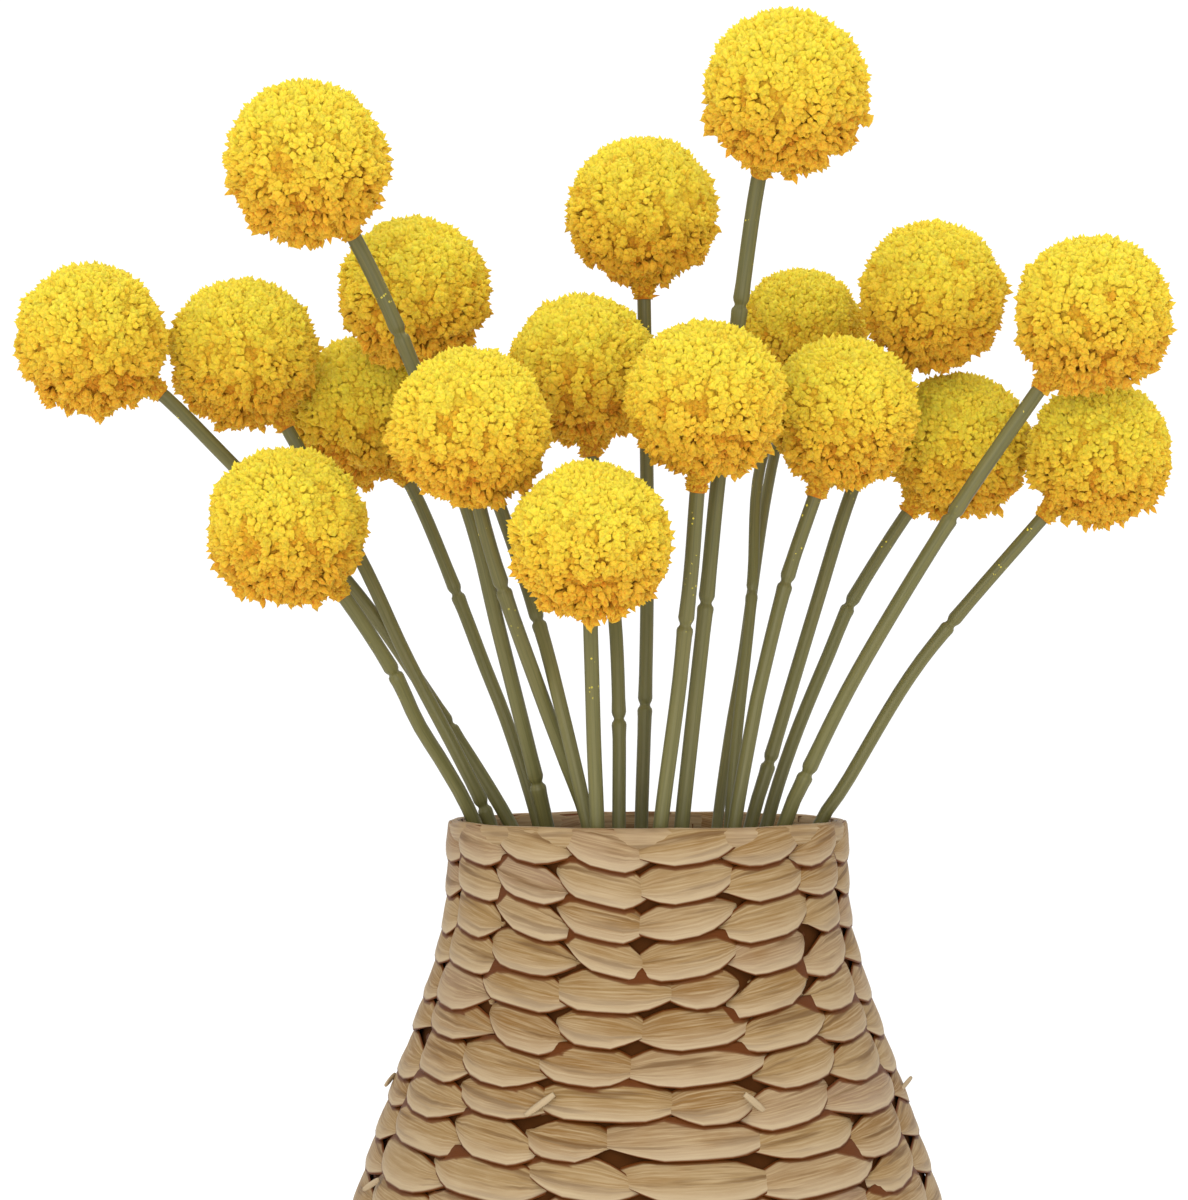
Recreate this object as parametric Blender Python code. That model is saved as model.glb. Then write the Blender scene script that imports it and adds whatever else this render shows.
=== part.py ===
"""Billy buttons in a woven vase: nineteen yellow flower balls on green jointed stems, standing in a
vase twined from water hyacinth. Units are metres, +Z is up, and the origin is the middle of the
underside of the vase. The open side that the bunch is arranged for faces -Y."""

import math
import random

import bmesh
import bpy
from mathutils import Matrix, Vector

MM = 0.001

# Vase: outer radius against the distance below the rim, measured on the outline.
VASE_HEIGHT = 180 * MM
VASE_OUTLINE = (
    (41.0, 0.0),
    (41.2, 16.0),
    (43.2, 27.0),
    (47.6, 41.0),
    (52.6, 55.0),
    (59.5, 76.0),
    (64.2, 95.0),
    (66.2, 114.0),
    (65.2, 134.0),
    (60.6, 154.0),
    (54.2, 170.0),
    (50.0, 180.0),
)
WALL = 2.0 * MM

# The twined weave: courses of strand round upright stakes, one strand length from stake to stake.
COURSES = 26
STAKES = 15
STEPS_PER_STRAND = 3
STRAND_SWELL = 1.5 * MM
STRAND_DIP = 0.5 * MM
STRAND_SLANT = 1.7 * MM
INNER_RINGS = 7

# Base: a flat coiled disc let into the foot of the wall.
BASE_THICK = 4.0 * MM
BASE_COILS = 4
BASE_COIL_RISE = 0.6 * MM
BASE_STEPS = 24
SEAT_GAP = 0.3 * MM

# Flower balls.
FLORETS = 56
FLORET_RISE = 0.115
FLORET_JITTER = 0.16
NECK_LENGTH = 3.4 * MM
NECK_FOOT_RADIUS = 2.7 * MM
NECK_TOP_RADIUS = 4.0 * MM
NECK_SUNK = 0.70
SOCKET_RADIUS = 2.0 * MM
SOCKET_DEPTH = 8.0 * MM
NECK_SIDES = 8

# Stems.
STEM_TO_BALL = 0.092
STEM_SPACING = 20 * MM
PLUG_LENGTH = 7.5 * MM
FOOT_SPREAD = 0.80
INWARD_LEAN = 1.0
JOINT_HALF = 1.7 * MM
JOINT_SHAPE = ((-1.0, 1.10), (0.0, 0.76), (1.0, 1.08))

# Positions are taken in the front elevation, in the plane of the vase's axis, and a thing nearer or
# farther than that plane is drawn in or spread out from the eye's line by its depth.
EYE_X = -10.7 * MM
EYE_HEIGHT_OVER_RIM = 43.6 * MM
EYE_DISTANCE = 1000 * MM

# Each row: name, ball centre, ball radius, points down the stem to the rim, joint heights.
# A point is (across, above the rim, depth behind the axis), all in millimetres.
BUNCH = (
    ("a", (-68.3, 131.4, -42), 16.4,
     ((-59.8, 118.2, -33), (-49.8, 97.3, -31), (-36.0, 62.0, -27), (-29.7, 37.4, -20), (-20.5, 0, -8)),
     (96.8, 7.0)),
    ("b", (-111.3, 96.0, -8), 15.2,
     ((-96.9, 84.6, -5), (-82.5, 70.2, 0), (-60.5, 47.8, 5), (-44.7, 26.0, 8), (-28.1, 0, 10)),
     (18.5,)),
    ("c", (-80.9, 93.2, 7), 15.0,
     ((-71.1, 76.2, 6), (-57.3, 51.6, 4), (-48.3, 32.4, 2), (-37.5, 11.8, 2), (-31.9, 0, 4)),
     (2.4,)),
    ("d", (-46.7, 105.4, 6), 15.2,
     ((-40.5, 90.2, 3), (-29.3, 61.6, -8), (-21.7, 38.8, -20), (-17.9, 24.6, -26.7), (-12.2, 0, -26.8)),
     (39.4,)),
    ("e", (-35.5, 78.4, -50), 16.0,
     ((-34.2, 64.8, -40), (-29.5, 47.6, -35), (-21.3, 24.6, -25), (-16.5, 11.8, -20.5), (-12.1, 0, -17.6)),
     (46.0,)),
    ("f", (-72.3, 58.6, -28), 16.0,
     ((-60.6, 44.2, -22), (-50.7, 29.0, -14), (-45.9, 19.0, -9), (-40.2, 9.8, -4), (-35.0, 0, -1)),
     (29.0,)),
    ("g", (-57.1, 81.6, 28), 14.8,
     ((-47.1, 66.0, 26), (-38.1, 44.8, 23), (-32.7, 30.8, 20), (-27.7, 18.0, 19), (-22.1, 0, 18.5)),
     (45.0,)),
    ("h", (-11.5, 55.6, -58), 16.0,
     ((-11.5, 43.0, -43.5), (-11.1, 28.5, -37), (-10.7, 14.4, -34.8), (-10.1, 0, -33.5)),
     ()),
    ("i", (-12.9, 90.0, -8), 15.0,
     ((-11.1, 72.4, -9), (-8.7, 55.6, -12), (-6.5, 39.6, -16), (-5.7, 19.8, -19), (-5.7, 0, -21)),
     (19.8,)),
    ("j", (-1.1, 121.6, 6), 15.0,
     ((-0.7, 104.2, 6), (-0.1, 66.4, 6), (-0.1, 44.0, 6), (-0.5, 22.6, 5), (-1.2, 0, 4)),
     (22.6,)),
    ("k", (27.7, 145.4, -44), 16.6,
     ((22.6, 129.8, -34.5), (18.7, 103.6, -32), (14.3, 69.0, -28), (11.7, 43.0, -26), (7.0, 0, -24)),
     (102.5, 43.0)),
    ("l", (11.7, 84.0, -48), 16.0,
     ((10.0, 66.0, -45), (8.8, 50.0, -41), (7.3, 36.0, -38), (6.1, 24.6, -36), (2.8, 0, -34)),
     (38.6,)),
    ("m", (30.5, 97.6, 20), 12.6,
     ((27.0, 84.6, 15), (22.1, 68.0, 4), (20.9, 45.2, -5), (17.9, 17.0, -11), (16.5, 0, -13)),
     (45.2,)),
    ("n", (39.1, 81.4, -20), 15.2,
     ((33.9, 65.6, -20), (27.7, 47.2, -20), (22.7, 27.2, -20.5), (20.9, 18.4, -21), (17.6, 0, -21)),
     (47.2,)),
    ("o", (57.1, 104.8, 0), 14.8,
     ((51.5, 91.2, 0), (41.1, 66.0, -1), (33.5, 41.8, -3), (24.3, 11.0, -6.5), (21.0, 0, -7)),
     (11.2,)),
    ("p", (62.5, 74.6, 10), 14.6,
     ((52.4, 61.6, 9), (41.1, 43.8, 7), (36.6, 33.6, 6), (29.2, 15.6, 4), (24.2, 0, 3)),
     (42.6,)),
    ("q", (89.1, 101.0, -30), 15.8,
     ((78.1, 85.4, -29), (60.8, 60.2, -27), (42.5, 30.0, -23), (32.0, 9.2, -19), (27.9, 0, -17)),
     (60.4, 9.0)),
    ("r", (90.5, 73.0, -8), 14.6,
     ((78.3, 59.2, -7), (60.6, 38.8, -5), (51.1, 26.2, -4), (39.6, 6.8, -2), (35.1, 0, -1)),
     (38.8,)),
    ("s", (31.7, 95.4, 52), 12.6,
     ((27.5, 81.6, 48), (23.5, 62.8, 41), (19.1, 32.2, 29), (16.5, 17.0, 23), (14.1, 0, 17)),
     ()),
)


def clear_scene():
    for old in list(bpy.data.objects):
        bpy.data.objects.remove(old)


def new_collection(name):
    made = bpy.data.collections.new(name)
    bpy.context.scene.collection.children.link(made)
    return made


def finish_material(name, colour, roughness):
    made = bpy.data.materials.new(name)
    made.use_nodes = True
    shader = made.node_tree.nodes["Principled BSDF"]
    shader.inputs["Base Color"].default_value = (*colour, 1.0)
    shader.inputs["Roughness"].default_value = roughness
    shader.inputs["Metallic"].default_value = 0.0
    return made


def mesh_object(name, bm, collection, material=None, smooth=False):
    """An object that holds bm's mesh, linked to the collection."""
    mesh = bpy.data.meshes.new(name)
    bm.to_mesh(mesh)
    bm.free()
    if smooth:
        mesh.shade_smooth()
    if material:
        mesh.materials.append(material)
    made = bpy.data.objects.new(name, mesh)
    collection.objects.link(made)
    return made


def catmull_rom(points, steps):
    """Points of a smooth curve through the given ones, steps to each stretch."""
    ends = [points[0] * 2 - points[1], *points, points[-1] * 2 - points[-2]]
    found = []
    for before, start, end, after in zip(ends, ends[1:], ends[2:], ends[3:]):
        for step in range(steps):
            t = step / steps
            found.append(
                0.5
                * (
                    start * 2
                    + (end - before) * t
                    + (before * 2 - start * 5 + end * 4 - after) * t**2
                    + (start * 3 - before - end * 3 + after) * t**3
                )
            )
    found.append(points[-1].copy())
    return found


def lengths_along(points):
    run = [0.0]
    for a, b in zip(points, points[1:]):
        run.append(run[-1] + (b - a).length)
    return run


def point_at(points, run, distance):
    """The point of a dense line that lies this far along it."""
    for k in range(1, len(points)):
        if run[k] >= distance:
            share = (distance - run[k - 1]) / max(run[k] - run[k - 1], 1e-9)
            return points[k - 1].lerp(points[k], share)
    return points[-1].copy()


# Vase


def outline_radius(depth):
    """Outer radius of the vase this far below its rim."""
    places = [Vector((r * MM, d * MM, 0)) for r, d in VASE_OUTLINE]
    line = catmull_rom(places, 8)
    for a, b in zip(line, line[1:]):
        if b.y >= depth:
            share = (depth - a.y) / (b.y - a.y)
            return a.x + (b.x - a.x) * share
    return line[-1].x


def slant_at(step):
    """How far up a strand stands at this step from the front: it falls towards the front from both sides."""
    along = step % STEPS_PER_STRAND
    stake = step // STEPS_PER_STRAND
    if along == 0 or stake == STAKES // 2:
        return 0.0
    climb = along / STEPS_PER_STRAND - 0.5
    return STRAND_SLANT * 2 * climb * (1 if stake < STAKES // 2 else -1)


def strand_swell(step):
    """A strand stands out between two stakes and dips behind each of them."""
    return -STRAND_DIP if step % STEPS_PER_STRAND == 0 else STRAND_SWELL


def vase_wall(collection, material):
    """The wall: courses of slanting strands outside, plain inside."""
    steps = STAKES * STEPS_PER_STRAND
    angles = [2 * math.pi * step / steps - math.pi / 2 for step in range(steps)]
    course = VASE_HEIGHT / COURSES
    rings = []
    for k in range(2 * COURSES + 1):
        depth = k * course / 2
        rings.append((outline_radius(depth) - STRAND_SWELL, VASE_HEIGHT - depth, k % 2 == 1))
    bm = bmesh.new()
    grid = []
    for radius, height, ridge in rings:
        ring = []
        edge = height < MM or height > VASE_HEIGHT - MM
        for step, angle in enumerate(angles):
            out = radius + (strand_swell(step) if ridge else 0.0)
            lift = 0.0 if edge else slant_at(step)
            ring.append(bm.verts.new((out * math.cos(angle), out * math.sin(angle), height + lift)))
        grid.append(ring)
    for k in range(INNER_RINGS + 1):
        height = VASE_HEIGHT * k / INNER_RINGS
        inside = outline_radius(VASE_HEIGHT - height) - STRAND_SWELL - WALL
        ring = []
        for angle in angles:
            ring.append(bm.verts.new((inside * math.cos(angle), inside * math.sin(angle), height)))
        grid.append(ring)
    for upper, lower in zip(grid, grid[1:] + grid[:1]):
        for step in range(steps):
            after = (step + 1) % steps
            bm.faces.new((upper[step], lower[step], lower[after], upper[after]))
    return mesh_object("vase_wall", bm, collection, material)


def vase_base(collection, material):
    """The coiled disc that closes the foot of the vase, with its coils raised on the upper side."""
    outer = outline_radius(VASE_HEIGHT) - STRAND_SWELL - WALL - SEAT_GAP
    profile = [(0.0, BASE_THICK)]
    for coil in range(BASE_COILS):
        profile.append((outer * (coil + 0.5) / BASE_COILS, BASE_THICK + BASE_COIL_RISE))
        profile.append((outer * (coil + 1) / BASE_COILS, BASE_THICK))
    profile += [(outer, 0.0), (0.0, 0.0)]
    bm = bmesh.new()
    chain = [bm.verts.new((radius, 0.0, height)) for radius, height in profile]
    edges = [bm.edges.new(pair) for pair in zip(chain, chain[1:])]
    bmesh.ops.spin(
        bm, geom=chain + edges, cent=(0, 0, 0), axis=(0, 0, 1),
        angle=2 * math.pi, steps=BASE_STEPS, use_merge=True,
    )
    bmesh.ops.remove_doubles(bm, verts=bm.verts, dist=0.01 * MM)
    bmesh.ops.recalc_face_normals(bm, faces=bm.faces)
    return mesh_object("vase_base", bm, collection, material)


# Bunch


def placed(point):
    """A point of the elevation, put where it stands in depth."""
    across, above, depth = (value * MM for value in point)
    spread = 1 + depth / EYE_DISTANCE
    return Vector((
        EYE_X + (across - EYE_X) * spread,
        depth,
        VASE_HEIGHT + EYE_HEIGHT_OVER_RIM + (above - EYE_HEIGHT_OVER_RIM) * spread,
    ))


def stem_route(ball, points):
    """The stem's centreline from the vase's floor up to the ball's centre, as a dense smooth line."""
    way = [placed(point) for point in points]
    rim, above = way[-1], way[-2]
    lean = (rim - above) / max(above.z - rim.z, 1e-6)
    floor = BASE_THICK + BASE_COIL_RISE + SEAT_GAP
    foot = Vector((rim.x * FOOT_SPREAD, rim.y * FOOT_SPREAD, floor))
    deep = rim.z - floor
    inside = []
    for share in (0.1, 0.25, 0.45, 0.7):
        ease = share * share * (3 - 2 * share)
        swing = INWARD_LEAN * deep * share * (1 - share) ** 4
        place = rim.lerp(foot, ease)
        inside.append(Vector((place.x + lean.x * swing, place.y + lean.y * swing, rim.z - deep * share)))
    return catmull_rom([foot, *reversed(inside), *reversed(way), placed(ball)], 10)


def ball_size(ball, radius):
    """Radius of a ball that is drawn this large in the elevation and stands at its depth."""
    return radius * MM * (1 + ball[2] * MM / EYE_DISTANCE)


def full_route(ball, radius, points):
    """The stem's line with its last stretch straight, from the foot of the ball's neck to its centre."""
    dense = stem_route(ball, points)
    run = lengths_along(dense)
    turn_off = run[-1] - ball_size(ball, radius) - NECK_LENGTH
    kept = [point for point, distance in zip(dense, run) if distance < turn_off - 0.5 * MM]
    return [*kept, point_at(dense, run, turn_off), dense[-1]]


def joint_place(dense, run, height):
    """Distance along the stem of a joint that the elevation shows at this height above the rim."""
    seen = []
    for point in dense:
        above_eye = point.z - VASE_HEIGHT - EYE_HEIGHT_OVER_RIM
        seen.append(EYE_HEIGHT_OVER_RIM + above_eye / (1 + point.y / EYE_DISTANCE))
    k = next(k for k in range(1, len(seen)) if seen[k] >= height)
    return run[k - 1] + (run[k] - run[k - 1]) * (height - seen[k - 1]) / (seen[k] - seen[k - 1])


def make_stem(name, ball, radius, points, joints, collection, material):
    """A jointed stem: a round tube that pinches in at each joint, from the floor into the ball."""
    dense = full_route(ball, radius, points)
    run = lengths_along(dense)
    stem_radius = STEM_TO_BALL * radius * MM
    neck_foot = run[-2]
    top = neck_foot + PLUG_LENGTH
    stations = {}
    for height in joints:
        middle = joint_place(dense, run, height * MM)
        for side, swell in JOINT_SHAPE:
            stations[middle + side * JOINT_HALF] = swell
    stations[neck_foot] = 1.0
    at_rim = next(run[k] for k in range(len(dense)) if dense[k].z >= VASE_HEIGHT)
    if all(abs(at_rim - mark) > JOINT_HALF for mark in stations):
        stations[at_rim] = 1.0
    marks = sorted(stations)
    count = round(neck_foot / STEM_SPACING)
    for k in range(count):
        distance = neck_foot * k / count
        if all(abs(distance - mark) > STEM_SPACING * 0.35 for mark in marks):
            stations[distance] = 1.0
    stations.setdefault(0.0, 1.0)
    stations.setdefault(top, 1.0)
    curve = bpy.data.curves.new(name, "CURVE")
    curve.dimensions = "3D"
    curve.bevel_depth = stem_radius
    curve.bevel_resolution = 1
    curve.use_fill_caps = True
    spline = curve.splines.new("POLY")
    order = sorted(stations)
    spline.points.add(len(order) - 1)
    for point, distance in zip(spline.points, order):
        point.co = (*point_at(dense, run, distance), 1.0)
        point.radius = stations[distance]
    curve.materials.append(material)
    made = bpy.data.objects.new(name, curve)
    collection.objects.link(made)
    return made


def fibonacci_sphere(count, draw):
    """Evenly spread directions, each nudged a little."""
    golden = math.pi * (3 - math.sqrt(5))
    nudge = FLORET_JITTER * math.sqrt(4 * math.pi / count)
    for k in range(count):
        height = 1 - 2 * (k + 0.5) / count
        ring = math.sqrt(1 - height * height)
        place = Vector((ring * math.cos(golden * k), ring * math.sin(golden * k), height))
        shift = Vector((draw.uniform(-1, 1), draw.uniform(-1, 1), draw.uniform(-1, 1)))
        yield (place + shift * nudge).normalized()


def cone_tool(name, foot_radius, top_radius, low, high, turn, centre, collection):
    """A round tapered tool along the ball's axis, from low to high, hidden from the render."""
    bm = bmesh.new()
    bmesh.ops.create_cone(
        bm, cap_ends=True, segments=NECK_SIDES, radius1=foot_radius, radius2=top_radius,
        depth=high - low, matrix=Matrix.Translation((0, 0, (low + high) / 2)),
    )
    made = mesh_object(name, bm, collection)
    made.matrix_world = Matrix.Translation(centre) @ turn.to_4x4()
    made.hide_render = True
    made.display_type = "WIRE"
    return made


def make_ball(name, ball, radius, points, seed, collection, tools, material):
    """A flower ball: florets raised all over a sphere, on a short neck with a socket for the stem."""
    draw = random.Random(seed)
    size = ball_size(ball, radius)
    neck_foot, centre = full_route(ball, radius, points)[-2:]
    turn = (centre - neck_foot).to_track_quat("Z", "Y").to_matrix()
    bm = bmesh.new()
    for direction in fibonacci_sphere(FLORETS, draw):
        bm.verts.new(direction * size)
    bmesh.ops.convex_hull(bm, input=bm.verts, use_existing_faces=False)
    tips = list(bm.verts)
    bmesh.ops.poke(bm, faces=bm.faces[:])
    pits = [vert for vert in bm.verts if vert not in set(tips)]
    for tip in tips:
        tip.co = tip.co.normalized() * size * draw.uniform(0.98, 1.03)
    for pit in pits:
        pit.co = pit.co.normalized() * size * (1 - FLORET_RISE * draw.uniform(0.8, 1.2))
    bmesh.ops.recalc_face_normals(bm, faces=bm.faces)
    made = mesh_object(name, bm, collection, material)
    made.matrix_world = Matrix.Translation(centre) @ turn.to_4x4()
    foot = -(centre - neck_foot).length
    neck = cone_tool(
        name + "_neck_tool", NECK_FOOT_RADIUS, NECK_TOP_RADIUS, foot, -size * NECK_SUNK, turn, centre, tools
    )
    socket = cone_tool(
        name + "_socket_tool", SOCKET_RADIUS, SOCKET_RADIUS, foot - 1 * MM, foot + SOCKET_DEPTH,
        turn, centre, tools,
    )
    for label, tool, operation in (("neck", neck, "UNION"), ("socket", socket, "DIFFERENCE")):
        step = made.modifiers.new(label, "BOOLEAN")
        step.object = tool
        step.operation = operation
        step.solver = "EXACT"
    return made


def main():
    clear_scene()
    parts = new_collection("billy_buttons_in_vase")
    tools = new_collection("tools")
    yellow = finish_material("floret_yellow", (0.86, 0.56, 0.03), 0.9)
    green = finish_material("stem_green", (0.19, 0.18, 0.07), 0.45)
    straw = finish_material("hyacinth_straw", (0.52, 0.36, 0.19), 0.7)
    vase_wall(parts, straw)
    vase_base(parts, straw)
    for seed, (letter, ball, radius, points, joints) in enumerate(BUNCH):
        make_stem("stem_" + letter, ball, radius, points, joints, parts, green)
        make_ball("ball_" + letter, ball, radius, points, seed, parts, tools, yellow)


main()
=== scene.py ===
"""Billy buttons in a woven vase: the crumbly flower balls, the jointed stems and the twined strands of
the vase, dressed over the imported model. Units are metres, +Z is up, and the bunch faces -Y."""

import math
import random

import bmesh
import bpy
import numpy as np
from mathutils import Matrix, Vector, noise


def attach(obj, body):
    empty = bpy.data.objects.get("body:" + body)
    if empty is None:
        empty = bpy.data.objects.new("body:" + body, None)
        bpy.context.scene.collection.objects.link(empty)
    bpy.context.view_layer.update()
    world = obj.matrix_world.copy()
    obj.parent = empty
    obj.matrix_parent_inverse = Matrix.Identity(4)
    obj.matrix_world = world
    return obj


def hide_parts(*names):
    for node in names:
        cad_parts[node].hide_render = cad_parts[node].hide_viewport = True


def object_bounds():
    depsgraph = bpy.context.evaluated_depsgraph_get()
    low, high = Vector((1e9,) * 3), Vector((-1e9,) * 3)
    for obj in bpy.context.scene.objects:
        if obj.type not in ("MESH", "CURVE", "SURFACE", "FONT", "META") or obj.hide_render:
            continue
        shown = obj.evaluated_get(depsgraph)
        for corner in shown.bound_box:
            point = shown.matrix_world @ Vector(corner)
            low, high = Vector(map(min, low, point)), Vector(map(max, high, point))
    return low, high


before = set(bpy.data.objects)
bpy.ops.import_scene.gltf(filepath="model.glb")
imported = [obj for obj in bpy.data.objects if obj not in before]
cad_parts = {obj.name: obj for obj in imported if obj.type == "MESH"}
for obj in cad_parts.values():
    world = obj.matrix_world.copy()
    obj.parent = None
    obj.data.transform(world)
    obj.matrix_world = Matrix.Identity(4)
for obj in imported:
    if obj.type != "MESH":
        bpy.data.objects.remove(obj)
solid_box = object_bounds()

MM = 0.001

# Eye: the photograph's view, level, with the picture's middle a little above the vase's rim.
EYE_X = -10.7 * MM
EYE_HEIGHT_OVER_RIM = 43.6 * MM
EYE_DISTANCE = 1000 * MM
PICTURE_WIDTH = 237.6 * MM
SENSOR_WIDTH = 36

# Vase
VASE_HEIGHT = 180 * MM
VASE_OUTLINE = (
    (41.0, 0.0),
    (41.2, 16.0),
    (43.2, 27.0),
    (47.6, 41.0),
    (52.6, 55.0),
    (59.5, 76.0),
    (64.2, 95.0),
    (66.2, 114.0),
    (65.2, 134.0),
    (60.6, 154.0),
    (54.2, 170.0),
    (50.0, 180.0),
)
COURSES = 26
STAKES = 15
WALL = 2.0 * MM
STRAND_SWELL = 1.5 * MM
STRAND_SIDES = 14
INNER_STRAND_SIDES = 8
STRAND_CUTS = (-0.9, -0.75, -0.6, -0.45, -0.2, 0.2, 0.45, 0.6, 0.75, 0.9)
INNER_STRAND_CUTS = (-0.8, -0.4, 0.4, 0.8)
STRAND_BED = 2.1 * MM
RIM_TALL = 4.0 * MM
RIM_SIDES = 14
RIM_SQUARENESS = 0.7
BASE_THICK = 4.0 * MM
BASE_COIL_RISE = 0.6 * MM
BASE_COILS = 9
BASE_COIL_SECTION = ((0.08, 0.0), (0.3, 0.85), (0.5, 1.0), (0.7, 0.85), (0.92, 0.0))
SEAT_GAP = 0.3 * MM
LINING_THICK = 0.4 * MM
LINING_BACK = 0.5 * MM

# Ranges that each strand length draws from: half its reach as a share of the space between stakes, its
# half height as a share of a course, and where and how sharply it tapers.
STRAND_REACH = (1.26, 1.42)
STRAND_HALF_HIGH = (0.58, 0.67)
STRAND_SHOULDER = (0.18, 0.46)
STRAND_TAPER = 0.92
STRAND_TAPER_POWER = (1.2, 1.6)

# In millimetres: how far a strand falls from its middle to its end, and the spreads of its droop and
# of its height.
STRAND_SLANT = (1.9, 2.6)
STRAND_DROOP = 0.35
STRAND_STRAY = 0.20

# The relief that all strand lengths share, outside the wall and inside it.
STRAND_CROWN = 0.9 * MM
STRAND_TUCK = 1.3 * MM
STRAND_LAP = 0.45 * MM
STRAND_CREASE = 0.28 * MM
STRAND_THICK = 0.42 * MM
INNER_STRAND_PROUD = 0.33 * MM
INNER_STRAND_BOW = 0.4 * MM
INNER_STRAND_THICK = 0.3 * MM

# Below these courses the two strands at the front lie more level.
STEEP_COURSES = 4

# The brown under each course and along each strand's outline, partly stain and partly painted shade:
# bearings at which a course's lower edge is noted, how far the brown under it reaches, and how wide a
# strand's own outline is browned.
HEM_BEARINGS = 720
HEM_SHADE = 4 * MM
OUTLINE_STAIN_AND_SHADE = 3 * MM

# Strand ends left sticking out: degrees from the front, millimetres below the rim, length in
# millimetres, degrees from level.
LOOSE_ENDS = (
    (-24.0, 52.6, 6.6, -38),
    (22.8, 52.2, 6.2, 36),
    (-86.0, 52.0, 3.6, 30),
    (84.0, 52.6, 3.8, -32),
    (-70.0, 71.0, 4.5, -30),
    (64.0, 88.0, 5.0, 35),
    (150.0, 60.0, 5.5, 30),
    (-140.0, 96.0, 5.0, -35),
)
LOOSE_END_GIRTH = 0.75 * MM

# Flower balls. Shares are of the ball's radius, and clumps deepen from its top to its underside.
FLORETS = 2000
FLORET_PETALS = 4
FLORET_KINDS = 8
POINTED_KINDS = 3
FLORET_DEPTH = 2.6
FLORET_STRAY = 0.24
FLORET_LEAN = 0.24
FLORET_SIZES = (0.82, 1.12)
FLORET_FOOT = 0.93

# One floret, in its own radii: petals, the clefts between them, and its raised middle or point.
PETAL_REACH = (0.78, 1.0)
PETAL_LIFTS = (0.0, 0.1, 0.2, 0.6)
CLEFT_REACH = (0.66, 0.86)
CROWN_HEIGHTS = (0.15, 0.45)
POINT_HEIGHTS = (1.1, 1.5)
POINT_GIRTH = 0.72

GOLDEN_TURN = math.pi * (3 - math.sqrt(5))
LUMP_RATE = 2.6
LUMP_SHARE = 0.03
CLUMP_RATES = (6.0, 6.0, 3.4)
CLUMP_SHARE = 0.03
CLUMP_SHARE_BELOW = 0.19
CORE_SHARE = 0.88
CORE_SHARE_RISE = 0.035
NECK_LENGTH = 3.4 * MM
NECK_RADIUS = 2.2 * MM
NECK_FLORETS = 90
NECK_FLORET_SIZES = (0.55, 0.8)
NECK_FLORET_LEAN = 0.35
NECK_TOP_SHARE = 0.86
# The way from which the light painted on the balls comes.
LIGHT_WAY = (0.0, -0.35, 0.94)

# Stems
STEM_TO_BALL = 0.092
PLUG_LENGTH = 7.5 * MM
FOOT_SPREAD = 0.80
INWARD_LEAN = 1.0
STEM_STEP = 4 * MM
STEM_MAP_RADIUS = 1.5 * MM
CRUMBED_LENGTH = 32 * MM

# Millimetres from the middle of a joint, and how the stem swells there
JOINT_PROFILE = (
    (-6.0, 1.0), (-2.4, 1.04), (-1.2, 1.10), (-0.7, 1.04), (-0.35, 0.84),
    (0.0, 0.74), (0.35, 0.80), (0.8, 0.96), (1.4, 1.07), (2.8, 1.04), (6.0, 1.0),
)

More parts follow.
